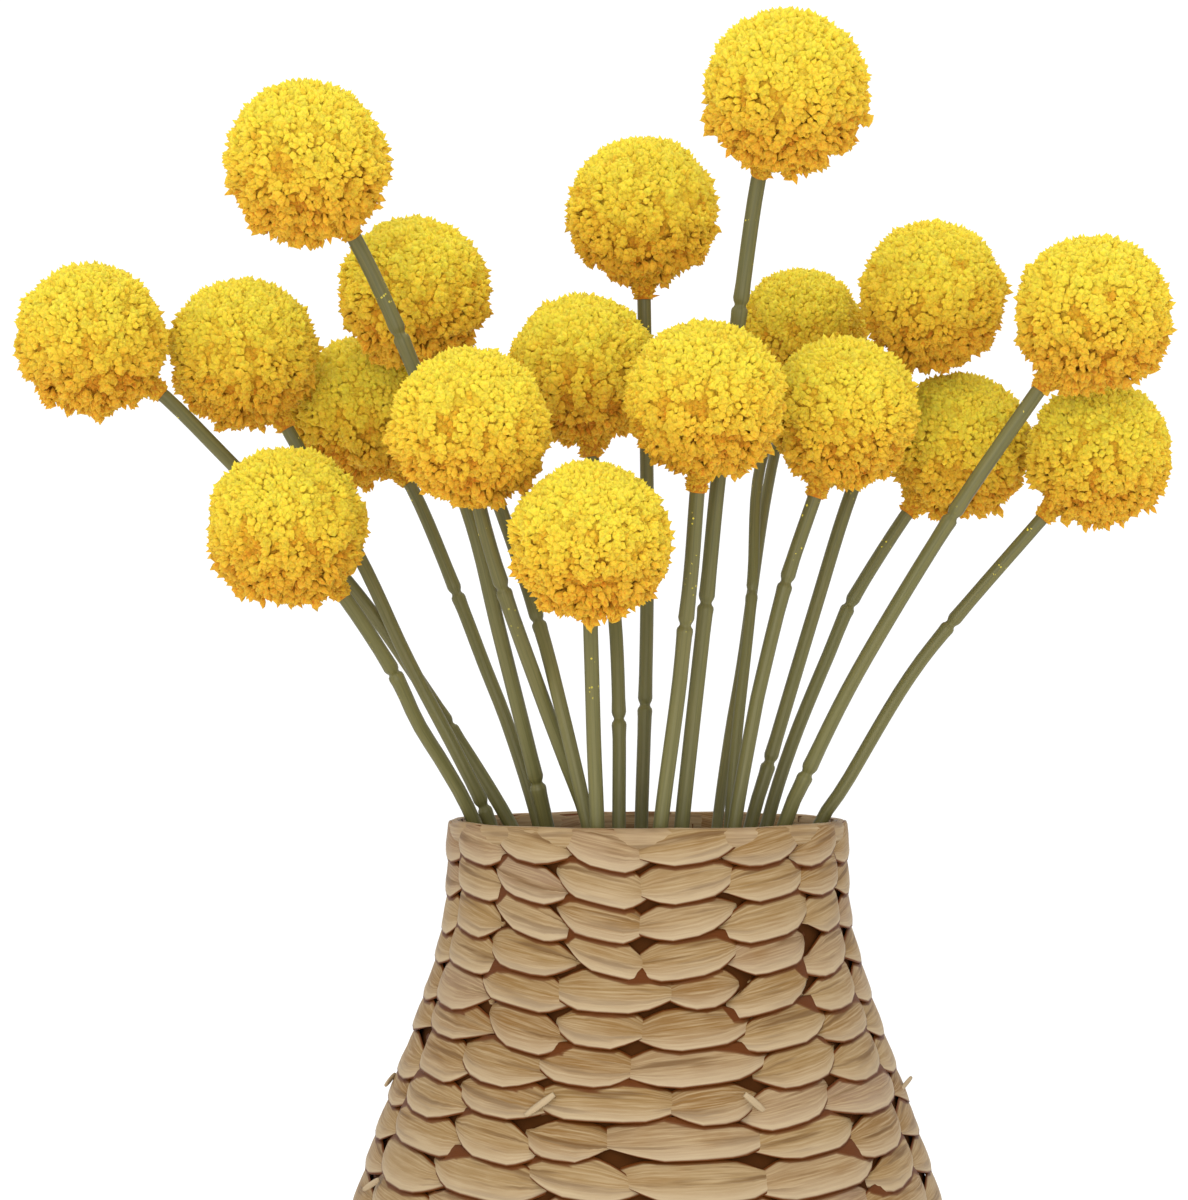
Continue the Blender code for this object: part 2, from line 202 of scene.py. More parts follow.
# Each row: name, ball centre, ball radius, points down the stem to the rim, joint heights.
# A point is (across, above the rim, depth behind the axis), all in millimetres.
BUNCH = (
    ("a", (-68.3, 131.4, -42), 16.4,
     ((-59.8, 118.2, -33), (-49.8, 97.3, -31), (-36.0, 62.0, -27), (-29.7, 37.4, -20), (-20.5, 0, -8)),
     (96.8, 7.0)),
    ("b", (-111.3, 96.0, -8), 15.2,
     ((-96.9, 84.6, -5), (-82.5, 70.2, 0), (-60.5, 47.8, 5), (-44.7, 26.0, 8), (-28.1, 0, 10)),
     (18.5,)),
    ("c", (-80.9, 93.2, 7), 15.0,
     ((-71.1, 76.2, 6), (-57.3, 51.6, 4), (-48.3, 32.4, 2), (-37.5, 11.8, 2), (-31.9, 0, 4)),
     (2.4,)),
    ("d", (-46.7, 105.4, 6), 15.2,
     ((-40.5, 90.2, 3), (-29.3, 61.6, -8), (-21.7, 38.8, -20), (-17.9, 24.6, -26.7), (-12.2, 0, -26.8)),
     (39.4,)),
    ("e", (-35.5, 78.4, -50), 16.0,
     ((-34.2, 64.8, -40), (-29.5, 47.6, -35), (-21.3, 24.6, -25), (-16.5, 11.8, -20.5), (-12.1, 0, -17.6)),
     (46.0,)),
    ("f", (-72.3, 58.6, -28), 16.0,
     ((-60.6, 44.2, -22), (-50.7, 29.0, -14), (-45.9, 19.0, -9), (-40.2, 9.8, -4), (-35.0, 0, -1)),
     (29.0,)),
    ("g", (-57.1, 81.6, 28), 14.8,
     ((-47.1, 66.0, 26), (-38.1, 44.8, 23), (-32.7, 30.8, 20), (-27.7, 18.0, 19), (-22.1, 0, 18.5)),
     (45.0,)),
    ("h", (-11.5, 55.6, -58), 16.0,
     ((-11.5, 43.0, -43.5), (-11.1, 28.5, -37), (-10.7, 14.4, -34.8), (-10.1, 0, -33.5)),
     ()),
    ("i", (-12.9, 90.0, -8), 15.0,
     ((-11.1, 72.4, -9), (-8.7, 55.6, -12), (-6.5, 39.6, -16), (-5.7, 19.8, -19), (-5.7, 0, -21)),
     (19.8,)),
    ("j", (-1.1, 121.6, 6), 15.0,
     ((-0.7, 104.2, 6), (-0.1, 66.4, 6), (-0.1, 44.0, 6), (-0.5, 22.6, 5), (-1.2, 0, 4)),
     (22.6,)),
    ("k", (27.7, 145.4, -44), 16.6,
     ((22.6, 129.8, -34.5), (18.7, 103.6, -32), (14.3, 69.0, -28), (11.7, 43.0, -26), (7.0, 0, -24)),
     (102.5, 43.0)),
    ("l", (11.7, 84.0, -48), 16.0,
     ((10.0, 66.0, -45), (8.8, 50.0, -41), (7.3, 36.0, -38), (6.1, 24.6, -36), (2.8, 0, -34)),
     (38.6,)),
    ("m", (30.5, 97.6, 20), 12.6,
     ((27.0, 84.6, 15), (22.1, 68.0, 4), (20.9, 45.2, -5), (17.9, 17.0, -11), (16.5, 0, -13)),
     (45.2,)),
    ("n", (39.1, 81.4, -20), 15.2,
     ((33.9, 65.6, -20), (27.7, 47.2, -20), (22.7, 27.2, -20.5), (20.9, 18.4, -21), (17.6, 0, -21)),
     (47.2,)),
    ("o", (57.1, 104.8, 0), 14.8,
     ((51.5, 91.2, 0), (41.1, 66.0, -1), (33.5, 41.8, -3), (24.3, 11.0, -6.5), (21.0, 0, -7)),
     (11.2,)),
    ("p", (62.5, 74.6, 10), 14.6,
     ((52.4, 61.6, 9), (41.1, 43.8, 7), (36.6, 33.6, 6), (29.2, 15.6, 4), (24.2, 0, 3)),
     (42.6,)),
    ("q", (89.1, 101.0, -30), 15.8,
     ((78.1, 85.4, -29), (60.8, 60.2, -27), (42.5, 30.0, -23), (32.0, 9.2, -19), (27.9, 0, -17)),
     (60.4, 9.0)),
    ("r", (90.5, 73.0, -8), 14.6,
     ((78.3, 59.2, -7), (60.6, 38.8, -5), (51.1, 26.2, -4), (39.6, 6.8, -2), (35.1, 0, -1)),
     (38.8,)),
    ("s", (31.7, 95.4, 52), 12.6,
     ((27.5, 81.6, 48), (23.5, 62.8, 41), (19.1, 32.2, 29), (16.5, 17.0, 23), (14.1, 0, 17)),
     ()),
)

# Lamps: name, place, target, size in metres, watts
LAMPS = (
    ("key", (-0.45, -1.1, 1.5), (0, 0, 0.22), 0.8, 3),
    ("top", (0.2, 0.1, 1.4), (0, 0, 0.2), 0.9, 4),
    ("fill", (-0.1, -1.35, 0.25), (0, 0, 0.22), 0.7, 8.6),
)
SKY_STRENGTH = 1.1
FLOOR_HALF = 4.0


def colour(text):
    """The linear colour of a web colour such as #ffcc00."""
    parts = (int(text[k:k + 2], 16) / 255 for k in (1, 3, 5))
    return (*(c / 12.92 if c <= 0.04045 else ((c + 0.055) / 1.055) ** 2.4 for c in parts), 1.0)


# Routes, as in the part's source


def catmull_rom(points, steps):
    """Points of a smooth curve through the given ones, steps to each stretch."""
    ends = [points[0] * 2 - points[1], *points, points[-1] * 2 - points[-2]]
    found = []
    for before, start, end, after in zip(ends, ends[1:], ends[2:], ends[3:]):
        for step in range(steps):
            t = step / steps
            found.append(
                0.5
                * (
                    start * 2
                    + (end - before) * t
                    + (before * 2 - start * 5 + end * 4 - after) * t**2
                    + (start * 3 - before - end * 3 + after) * t**3
                )
            )
    found.append(points[-1].copy())
    return found


def lengths_along(points):
    run = [0.0]
    for a, b in zip(points, points[1:]):
        run.append(run[-1] + (b - a).length)
    return run


def point_at(points, run, distance):
    """The point of a dense line that lies this far along it."""
    for k in range(1, len(points)):
        if run[k] >= distance:
            share = (distance - run[k - 1]) / max(run[k] - run[k - 1], 1e-9)
            return points[k - 1].lerp(points[k], share)
    return points[-1].copy()


def placed(point):
    """A point of the elevation, put where it stands in depth."""
    across, above, depth = (value * MM for value in point)
    spread = 1 + depth / EYE_DISTANCE
    return Vector((
        EYE_X + (across - EYE_X) * spread,
        depth,
        VASE_HEIGHT + EYE_HEIGHT_OVER_RIM + (above - EYE_HEIGHT_OVER_RIM) * spread,
    ))


def stem_route(ball, points):
    """The stem's centreline from the vase's floor up to the ball's centre, as a dense smooth line."""
    way = [placed(point) for point in points]
    rim, above = way[-1], way[-2]
    lean = (rim - above) / max(above.z - rim.z, 1e-6)
    floor = BASE_THICK + BASE_COIL_RISE + SEAT_GAP
    foot = Vector((rim.x * FOOT_SPREAD, rim.y * FOOT_SPREAD, floor))
    deep = rim.z - floor
    inside = []
    for share in (0.1, 0.25, 0.45, 0.7):
        ease = share * share * (3 - 2 * share)
        swing = INWARD_LEAN * deep * share * (1 - share) ** 4
        place = rim.lerp(foot, ease)
        inside.append(Vector((place.x + lean.x * swing, place.y + lean.y * swing, rim.z - deep * share)))
    return catmull_rom([foot, *reversed(inside), *reversed(way), placed(ball)], 10)


def ball_size(ball, radius):
    """Radius of a ball that is drawn this large in the elevation and stands at its depth."""
    return radius * MM * (1 + ball[2] * MM / EYE_DISTANCE)


def full_route(ball, radius, points):
    """The stem's line with its last stretch straight, from the foot of the ball's neck to its centre."""
    dense = stem_route(ball, points)
    run = lengths_along(dense)
    turn_off = run[-1] - ball_size(ball, radius) - NECK_LENGTH
    kept = [point for point, distance in zip(dense, run) if distance < turn_off - 0.5 * MM]
    return [*kept, point_at(dense, run, turn_off), dense[-1]]


def outline_radius(depth):
    """Outer radius of the vase this far below its rim."""
    places = [Vector((r * MM, d * MM, 0)) for r, d in VASE_OUTLINE]
    line = catmull_rom(places, 8)
    for a, b in zip(line, line[1:]):
        if b.y >= depth:
            share = (depth - a.y) / (b.y - a.y)
            return a.x + (b.x - a.x) * share
    return line[-1].x


# Meshes


def mesh_arrays(bm):
    """Corner positions and triangles of a bmesh, which is freed."""
    bmesh.ops.triangulate(bm, faces=bm.faces)
    bmesh.ops.recalc_face_normals(bm, faces=bm.faces)
    bm.verts.index_update()
    corners = np.array([vert.co for vert in bm.verts])
    faces = np.array([[vert.index for vert in face.verts] for face in bm.faces])
    bm.free()
    return corners, faces


def object_from(name, corners, faces, material):
    """A smooth-shaded object with one material."""
    mesh = bpy.data.meshes.new(name)
    mesh.from_pydata(corners.tolist(), [], faces.tolist())
    mesh.shade_smooth()
    mesh.materials.append(material)
    made = bpy.data.objects.new(name, mesh)
    bpy.context.scene.collection.objects.link(made)
    return made


def corner_points(mesh):
    """Positions of a mesh's corner points, one row each."""
    corners = np.empty(len(mesh.vertices) * 3)
    mesh.vertices.foreach_get("co", corners)
    return corners.reshape(-1, 3)


def paint(made, name, values):
    """Stores one colour for each corner point as a named attribute."""
    layer = made.data.color_attributes.new(name, "FLOAT_COLOR", "POINT")
    rows = np.ones((len(made.data.vertices), 4), np.float32)
    rows[:, : values.shape[1]] = values
    layer.data.foreach_set("color", rows.ravel())


def lay_map(made, uv_points):
    """A map named length, given at each point, in metres along and across."""
    mesh = made.data
    layer = mesh.uv_layers.new(name="length")
    loops = np.empty(len(mesh.loops), int)
    mesh.loops.foreach_get("vertex_index", loops)
    layer.data.foreach_set("uv", uv_points[loops].ravel())


def turned(name, profile, material, steps=96):
    """A closed profile of (radius, height) turned round the vase's axis."""
    bm = bmesh.new()
    chain = [bm.verts.new((radius, 0.0, height)) for radius, height in profile]
    pairs = zip(chain, chain[1:] + chain[:1])
    edges = [bm.edges.new(pair) for pair in pairs if pair[0].co.x + pair[1].co.x > 0]
    bmesh.ops.spin(
        bm, geom=chain + edges, cent=(0, 0, 0), axis=(0, 0, 1),
        angle=2 * math.pi, steps=steps, use_merge=True,
    )
    bmesh.ops.remove_doubles(bm, verts=bm.verts, dist=0.005 * MM)
    bmesh.ops.recalc_face_normals(bm, faces=bm.faces)
    corners, faces = mesh_arrays(bm)
    return object_from(name, corners, faces, material)


def settle(made, node):
    """The piece rides on the part and stands for its solid, which is hidden."""
    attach(made, "root")
    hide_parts(node)


# Materials


class Nodes:
    """A material or a node group being wired: short calls that add a node and link its inputs."""

    def __init__(self, tree):
        self.tree = tree

    def add(self, kind, *, props=None, **inputs):
        node = self.tree.nodes.new(kind)
        for key, value in (props or {}).items():
            setattr(node, key, value)
        for key, value in inputs.items():
            self.put(node.inputs[key.replace("_", " ")], value)
        return node

    def put(self, socket, value):
        if isinstance(value, bpy.types.NodeSocket):
            self.tree.links.new(value, socket)
        else:
            socket.default_value = value

    def ramp(self, factor, *stops):
        node = self.tree.nodes.new("ShaderNodeValToRGB")
        ramp = node.color_ramp
        while len(ramp.elements) < len(stops):
            ramp.elements.new(0.5)
        for element, (place, shade) in zip(ramp.elements, stops):
            element.position = place
            element.color = shade
        self.put(node.inputs["Fac"], factor)
        return node.outputs["Color"]

    def mix(self, factor, a, b, blend="MIX"):
        node = self.tree.nodes.new("ShaderNodeMix")
        node.data_type = "RGBA"
        node.blend_type = blend
        self.put(node.inputs[0], factor)
        self.put(node.inputs[6], a)
        self.put(node.inputs[7], b)
        return node.outputs[2]

    def math(self, operation, a, b=0.0, clamp=False):
        node = self.tree.nodes.new("ShaderNodeMath")
        node.operation = operation
        node.use_clamp = clamp
        self.put(node.inputs[0], a)
        self.put(node.inputs[1], b)
        return node.outputs[0]

    def noise(self, vector, scale, detail, roughness):
        node = self.add("ShaderNodeTexNoise", Vector=vector, Scale=scale, Detail=detail, Roughness=roughness)
        return node.outputs["Fac"]

    def grain(self, group, along, stretch, detail, roughness):
        node = self.add(
            "ShaderNodeGroup", props={"node_tree": group},
            Map=along, Stretch=stretch, Detail=detail, Roughness=roughness,
        )
        return node.outputs["Grain"]

    def bump(self, height, strength, distance):
        node = self.add("ShaderNodeBump", Height=height, Strength=strength, Distance=distance)
        return node.outputs["Normal"]

    def painted(self, name):
        """The channels of a painted attribute, and its alpha."""
        outputs = self.add("ShaderNodeVertexColor", props={"layer_name": name}).outputs
        return self.add("ShaderNodeSeparateColor", Color=outputs["Color"]).outputs, outputs["Alpha"]

    def place(self):
        return self.add("ShaderNodeTexCoord").outputs["Object"]

    def along(self):
        return self.add("ShaderNodeUVMap", props={"uv_map": "length"}).outputs["UV"]


def new_material(name):
    made = bpy.data.materials.new(name)
    made.use_nodes = True
    shader = made.node_tree.nodes["Principled BSDF"]
    return made, shader, Nodes(made.node_tree)


def set_evenly(shader, values):
    """Sets the shader's numbers and colours that are the same all over."""
    for socket, value in values.items():
        shader.inputs[socket].default_value = value


def grey(value):
    return (value, value, value, 1.0)


def grain_group():
    """Grain that runs along a stem or a strand: noise drawn out over its lengthwise map."""
    group = bpy.data.node_groups.new("grain_along", "ShaderNodeTree")
    sockets = group.interface
    sockets.new_socket("Map", in_out="INPUT", socket_type="NodeSocketVector")
    sockets.new_socket("Stretch", in_out="INPUT", socket_type="NodeSocketVector")
    sockets.new_socket("Detail", in_out="INPUT", socket_type="NodeSocketFloat")
    sockets.new_socket("Roughness", in_out="INPUT", socket_type="NodeSocketFloat")
    sockets.new_socket("Grain", in_out="OUTPUT", socket_type="NodeSocketFloat")
    wire = Nodes(group)
    given = wire.add("NodeGroupInput").outputs
    stretched = wire.add("ShaderNodeMapping", Vector=given["Map"], Scale=given["Stretch"]).outputs["Vector"]
    grain = wire.noise(stretched, 1.0, given["Detail"], given["Roughness"])
    wire.put(wire.add("NodeGroupOutput").inputs["Grain"], grain)
    return group


def floret_finish():
    """Flocked florets: lemon at the tips on top and golden below, painted light from above; burnt orange
    down between them, painted shade; and fine pits darkened as painted shade, which show most on the
    underside."""
    made, shader, wire = new_material("floret_yellow")
    channels, _ = wire.painted("floret")
    place = wire.place()
    patch = wire.noise(place, 260, 2, 0.6)
    crumb = wire.noise(place, 1700, 2, 0.7)
    # Painted light: lemon where the florets face the light above, golden on the underside.
    painted_top_light = wire.math("ADD", channels["Blue"], wire.math("MULTIPLY", patch, 0.35))
    tip = wire.ramp(
        painted_top_light, (0.42, colour("#cd9b26")), (0.80, colour("#dfc436")), (1.0, colour("#e0ce3c"))
    )
    varied = wire.mix(wire.math("MULTIPLY", channels["Green"], 0.25), tip, colour("#d9a626"))
    # Painted shade: burnt orange deep down between the florets and in the clefts, white at their tips.
    depth = wire.ramp(
        channels["Red"], (0.0, colour("#d89a5c")), (0.35, colour("#f4dfc2")), (0.75, colour("#ffffff"))
    )
    # Painted shade in fine pits, washed out towards the top by the painted light.
    pitted = wire.ramp(crumb, (0.36, colour("#ecc078")), (0.49, colour("#ffffff")))
    pits = wire.mix(wire.math("MULTIPLY", channels["Blue"], 0.7), pitted, colour("#ffffff"))
    body = wire.mix(1.0, wire.mix(1.0, varied, depth, "MULTIPLY"), pits, "MULTIPLY")
    wire.put(shader.inputs["Base Color"], body)
    wire.put(shader.inputs["Normal"], wire.bump(crumb, 0.45, 0.3 * MM))
    set_evenly(shader, {
        "Roughness": 0.85,
        "Diffuse Roughness": 1.0,
        "Sheen Weight": 0.3,
        "Sheen Roughness": 0.5,
        "Sheen Tint": colour("#ffe14a"),
        "Subsurface Weight": 0.3,
        "Subsurface Radius": (1.0, 0.55, 0.1),
        "Subsurface Scale": 1.5 * MM,
        "Specular IOR Level": 0.25,
    })
    return made


def stem_finish(group):
    """Olive moulded stem: streaks along it, browner patches, and yellow crumbs towards the ball."""
    made, shader, wire = new_material("stem_green")
    channels, _ = wire.painted("stem")
    streak = wire.grain(group, wire.along(), (1100.0, 22.0, 1.0), 3, 0.6)
    place = wire.place()
    patch = wire.noise(place, 45, 2, 0.5)
    base = wire.mix(patch, colour("#5f5d32"), colour("#6a6236"))
    streaked = wire.mix(
        wire.ramp(streak, (0.42, grey(0.0)), (0.7, grey(1.0))), base, colour("#4c4a27")
    )
    crumbs = wire.add("ShaderNodeTexVoronoi", Vector=place, Scale=900.0).outputs["Distance"]
    sparse = wire.noise(place, 210, 1, 0.5)
    dotted = wire.math("LESS_THAN", crumbs, 0.2)
    scattered = wire.math("MULTIPLY", dotted, wire.math("GREATER_THAN", sparse, 0.6))
    shown = wire.math("MULTIPLY", scattered, channels["Red"], clamp=True)
    wire.put(shader.inputs["Base Color"], wire.mix(shown, streaked, colour("#d8c63c")))
    wire.put(shader.inputs["Roughness"], wire.ramp(streak, (0.3, grey(0.42)), (0.8, grey(0.6))))
    wire.put(shader.inputs["Normal"], wire.bump(streak, 0.25, 0.2 * MM))
    set_evenly(shader, {"Specular IOR Level": 0.3})
    return made


def strand_finish(group):
    """Dried flattened strands: straw colour, lengthwise fibres, a painted highlight where they turn under at
    the lower edge, brown along the rest of the outline, and brown under the strand above, both partly stain
    and partly painted shadow."""
    made, shader, wire = new_material("hyacinth_straw")
    channels, edge = wire.painted("strand")
    along = wire.along()
    fibre = wire.grain(group, along, (80.0, 2200.0, 1.0), 3, 0.6)
    fold = wire.grain(group, along, (38.0, 520.0, 1.0), 3, 0.55)
    blotch = wire.grain(group, along, (110.0, 160.0, 1.0), 2, 0.5)
    tint = wire.ramp(
        channels["Red"],
        (0.0, colour("#77572f")), (0.3, colour("#84683f")),
        (0.65, colour("#8c734e")), (1.0, colour("#846a52")),
    )
    blotched = wire.mix(wire.ramp(blotch, (0.45, grey(0.0)), (0.75, grey(0.6))), tint, colour("#7a582c"))
    lit = wire.mix(wire.ramp(fibre, (0.42, grey(0.0)), (0.72, grey(0.85))), blotched, colour("#a48e6b"))
    # Dark lines along the folds: painted shade in the creases.
    creased = wire.mix(wire.ramp(fold, (0.34, grey(0.75)), (0.46, grey(0.0))), lit, colour("#5f4324"))
    # Painted highlight: paler along the lower edge of each strand, where it turns under and catches the
    # light.
    lower_edge_highlight = wire.ramp(channels["Green"], (0.0, grey(0.75)), (0.22, grey(0.35)), (0.45, grey(0.0)))
    edged = wire.mix(lower_edge_highlight, creased, colour("#b3a184"))
    wobble = wire.math("MULTIPLY", wire.math("SUBTRACT", fold, 0.5), 0.12)
    clear = wire.math("ADD", channels["Blue"], wobble)
    # Brown under the strand above: partly stain and partly painted shadow.
    shaded = wire.ramp(clear, (0.58, grey(1.0)), (0.66, grey(0.8)), (0.72, grey(0.0)))
    rim = wire.math("ADD", edge, wobble)
    # Brown along the strand's own outline: partly stain and partly painted shade.
    outlined = wire.ramp(rim, (0.09, grey(1.0)), (0.20, grey(0.0)))
    outline_stain_and_shade = wire.mix(outlined, edged, colour("#5a2c06"))
    wire.put(shader.inputs["Base Color"], wire.mix(shaded, outline_stain_and_shade, colour("#552a05")))
    heights = wire.math("ADD", fold, wire.math("MULTIPLY", fibre, 0.3))
    wire.put(shader.inputs["Normal"], wire.bump(heights, 0.45, 0.5 * MM))
    set_evenly(shader, {"Roughness": 0.55, "Specular IOR Level": 0.12})
    return made


def backing_finish():
    """The wall behind the strands, seen in the gaps between them: its dark brown is painted shade."""
    made, shader, wire = new_material("strand_backing")
    patch = wire.noise(wire.place(), 120, 3, 0.6)
    wire.put(shader.inputs["Base Color"], wire.mix(patch, colour("#2c1505"), colour("#4a280c")))
    set_evenly(shader, {"Roughness": 0.9, "Specular IOR Level": 0.05})
    return made


# Flower balls


def floret_kind(draw, pointed):
    """One floret: a pointed root that opens into a small crown round a raised middle, or into a point."""
    bm = bmesh.new()
    bmesh.ops.create_cone(
        bm, cap_ends=True, cap_tris=True, segments=2 * FLORET_PETALS,
        radius1=0.0, radius2=1.0, depth=FLORET_DEPTH,
    )
    bmesh.ops.remove_doubles(bm, verts=bm.verts, dist=1e-4)
    top = max(vert.co.z for vert in bm.verts)
    for vert in bm.verts:
        vert.co.z -= top
    rim = [vert for vert in bm.verts if vert.co.xy.length > 0.5]
    rim.sort(key=lambda vert: math.atan2(vert.co.y, vert.co.x))
    for petal, cleft in zip(rim[::2], rim[1::2]):
        petal.co.xy *= draw.uniform(*PETAL_REACH)
        petal.co.z += draw.choice(PETAL_LIFTS) + draw.uniform(0.0, 0.15)
        cleft.co.xy *= draw.uniform(*CLEFT_REACH)
        cleft.co.z -= draw.uniform(0.0, 0.16)
        for vert in (petal, cleft):
            vert.co.xy *= POINT_GIRTH if pointed else 1.0
    for vert in bm.verts:
        if vert.co.xy.length < 1e-4 and vert.co.z > -1e-4:
            vert.co.z += draw.uniform(*(POINT_HEIGHTS if pointed else CROWN_HEIGHTS))
    return mesh_arrays(bm)


def even_ways(count):
    """Directions spread evenly over a sphere, along a golden spiral."""
    k = np.arange(count)
    height = 1 - 2 * (k + 0.5) / count
    ring = np.sqrt(1 - height * height)
    return np.stack([ring * np.cos(GOLDEN_TURN * k), ring * np.sin(GOLDEN_TURN * k), height], axis=1)


def strewn(kinds, chosen, places, normals, sizes, draw):
    """Copies of the chosen kinds, each stood on its normal and spun: points, faces, owners and heights."""
    points, faces, owner, tall = [], [], [], []
    start = 0
    for k, (choice, place, normal, size) in enumerate(zip(chosen, places, normals, sizes)):
        corners, triangles = kinds[choice]
        helper = np.array((1.0, 0.0, 0.0)) if abs(normal[0]) < 0.8 else np.array((0.0, 1.0, 0.0))
        side = np.cross(normal, helper)
        side /= np.linalg.norm(side)
        other = np.cross(normal, side)
        spin = draw.uniform(0, 2 * math.pi)
        axis_x = side * math.cos(spin) + other * math.sin(spin)
        axis_y = np.cross(normal, axis_x)
        stood = corners[:, :1] * axis_x + corners[:, 1:2] * axis_y + corners[:, 2:] * normal
        points.append(stood * size + place)
        faces.append(triangles + start)
        owner.append(np.full(len(corners), k))
        tall.append(corners[:, 2])
        start += len(corners)
    return np.concatenate(points), np.concatenate(faces), np.concatenate(owner), np.concatenate(tall)


def ball_florets(size, spacing, seed, draw):
    """Where the florets of a ball stand, about its centre: kinds, places, ways out, sizes, how sunk."""
    ways = even_ways(FLORETS) + draw.normal(0, FLORET_STRAY, (FLORETS, 3)) * spacing / size
    turn = np.array(Matrix.Rotation(seed * 1.7, 3, "X") @ Matrix.Rotation(seed * 0.9, 3, "Z"))
    ways = ways @ turn.T
    ways /= np.linalg.norm(ways, axis=1)[:, None]
    shift = Vector((seed * 3.1, seed * 1.3, -seed * 2.2))
    lump = np.array([noise.noise(Vector(way) * LUMP_RATE + shift) for way in ways])
    clump = np.array([noise.noise(Vector(way * CLUMP_RATES) + shift) for way in ways])
    low = 0.5 - 0.5 * ways[:, 2]
    # Florets deep in the clefts between clumps are marked sunk, which darkens them as painted shade.
    sunk = np.clip(0.05 - clump * (0.5 + 3.2 * low), 0, 1)
    chosen = draw.integers(0, FLORET_KINDS, FLORETS)
    pointed = chosen >= FLORET_KINDS - POINTED_KINDS
    jitter = draw.uniform(-0.014, 0.014, FLORETS) * (0.4 + low)
    out = FLORET_FOOT + LUMP_SHARE * lump + (CLUMP_SHARE + CLUMP_SHARE_BELOW * low) * clump + jitter
    leans = ways + draw.normal(0, FLORET_LEAN, (FLORETS, 3))
    sizes = spacing * draw.uniform(*FLORET_SIZES, FLORETS) * (1 - 0.1 * pointed)
    return chosen, ways * (size * out)[:, None], leans, sizes, sunk


def neck_florets(size, spacing, axis, draw):
    """The same for the florets round the neck, which flares into the ball."""
    k = np.arange(NECK_FLORETS)
    share = (k + 0.5) / NECK_FLORETS
    side = np.cross(axis, (0.0, 1.0, 0.0))
    side /= np.linalg.norm(side)
    other = np.cross(axis, side)
    spun = np.cos(GOLDEN_TURN * k)[:, None] * side + np.sin(GOLDEN_TURN * k)[:, None] * other
    low = -(size + NECK_LENGTH - 0.9 * MM)
    level = low + (-size * NECK_TOP_SHARE - low) * share
    girth = NECK_RADIUS * (0.72 + 0.5 * share**2) + draw.uniform(-0.3, 0.2, NECK_FLORETS) * MM
    places = axis * level[:, None] + spun * girth[:, None]
    leans = spun + draw.normal(0, NECK_FLORET_LEAN, spun.shape)
    chosen = draw.integers(0, FLORET_KINDS, NECK_FLORETS)
    sizes = spacing * draw.uniform(*NECK_FLORET_SIZES, NECK_FLORETS)
    return chosen, places, leans, sizes, np.full(NECK_FLORETS, 0.25)


def facing_up(corners):
    """How much each corner faces the light above, which is painted on the balls: 0 on the underside, 1 on
    top.
    """
    ways = corners / np.linalg.norm(corners, axis=1)[:, None]
    return 0.5 + 0.5 * ways @ np.array(LIGHT_WAY)


def make_ball(name, ball, radius, points, seed, kinds, material):
    """A ball covered in florets, lumpy and cleft, on a short neck covered the same way."""
    draw = np.random.default_rng(seed + 100)
    size = ball_size(ball, radius)
    neck_foot, centre = full_route(ball, radius, points)[-2:]
    axis = np.array((centre - neck_foot).normalized())
    spacing = math.sqrt(4 * math.pi / FLORETS) * size
    on_ball = ball_florets(size, spacing, seed, draw)
    on_neck = neck_florets(size, spacing, axis, draw)
    chosen, places, leans, sizes, sunk = (np.concatenate(pair) for pair in zip(on_ball, on_neck))
    leans /= np.linalg.norm(leans, axis=1)[:, None]
    corners, faces, owner, tall = strewn(kinds, chosen, places, leans, sizes, draw)
    # A random tone for each floret, and how far out each point stands, which drives the painted shade
    # between florets.
    shade = draw.uniform(0, 1, len(places))[owner]
    depth = np.clip((tall + 0.9) / 1.1, 0, 1) * (1 - 0.75 * sunk[owner])
    core, core_faces = ball_core(size, axis)
    core_up = facing_up(core)
    total = np.concatenate([corners, core]) + np.array(centre)
    total = np.clip(total, solid_box[0], solid_box[1])
    made = object_from(name, total, np.concatenate([faces, core_faces + len(corners)]), material)
    # Painted into the colour: that depth, for painted shade; the random tone; and how much each point faces
    # the light, for painted light on top. The core is painted darker underneath, also painted shade.
    outside = np.stack([depth, shade, facing_up(corners)], axis=1)
    inside = np.stack([0.65 - 0.5 * (1 - core_up), np.full(len(core), 0.4), core_up], axis=1)
    paint(made, "floret", np.concatenate([outside, inside]))
    return made


def ball_core(size, axis):
    """The inside of a ball, which shows between its florets, and the tube of its neck."""
    turn = Vector(axis).to_track_quat("Z", "Y").to_matrix().to_4x4()
    low = -(size + NECK_LENGTH) + 0.5 * MM
    high = -size * 0.75
    bm = bmesh.new()
    bmesh.ops.create_icosphere(bm, subdivisions=4, radius=size, matrix=turn)
    for vert in bm.verts:
        vert.co *= CORE_SHARE + CORE_SHARE_RISE * vert.co.z / size
    tube = bmesh.new()
    bmesh.ops.create_cone(
        tube, cap_ends=True, segments=20,
        radius1=NECK_RADIUS * 0.8, radius2=NECK_RADIUS, depth=high - low,
        matrix=turn @ Matrix.Translation((0, 0, (low + high) / 2)),
    )
    first, first_faces = mesh_arrays(bm)
    second, second_faces = mesh_arrays(tube)
    return np.concatenate([first, second]), np.concatenate([first_faces, second_faces + len(first)])


# Stems


def joint_place(dense, run, height):
    """Distance along the stem of a joint that the elevation shows at this height above the rim."""
    seen = []
    for point in dense:
        above_eye = point.z - VASE_HEIGHT - EYE_HEIGHT_OVER_RIM
        seen.append(EYE_HEIGHT_OVER_RIM + above_eye / (1 + point.y / EYE_DISTANCE))
    k = next(k for k in range(1, len(seen)) if seen[k] >= height)
    return run[k - 1] + (run[k] - run[k - 1]) * (height - seen[k - 1]) / (seen[k] - seen[k - 1])


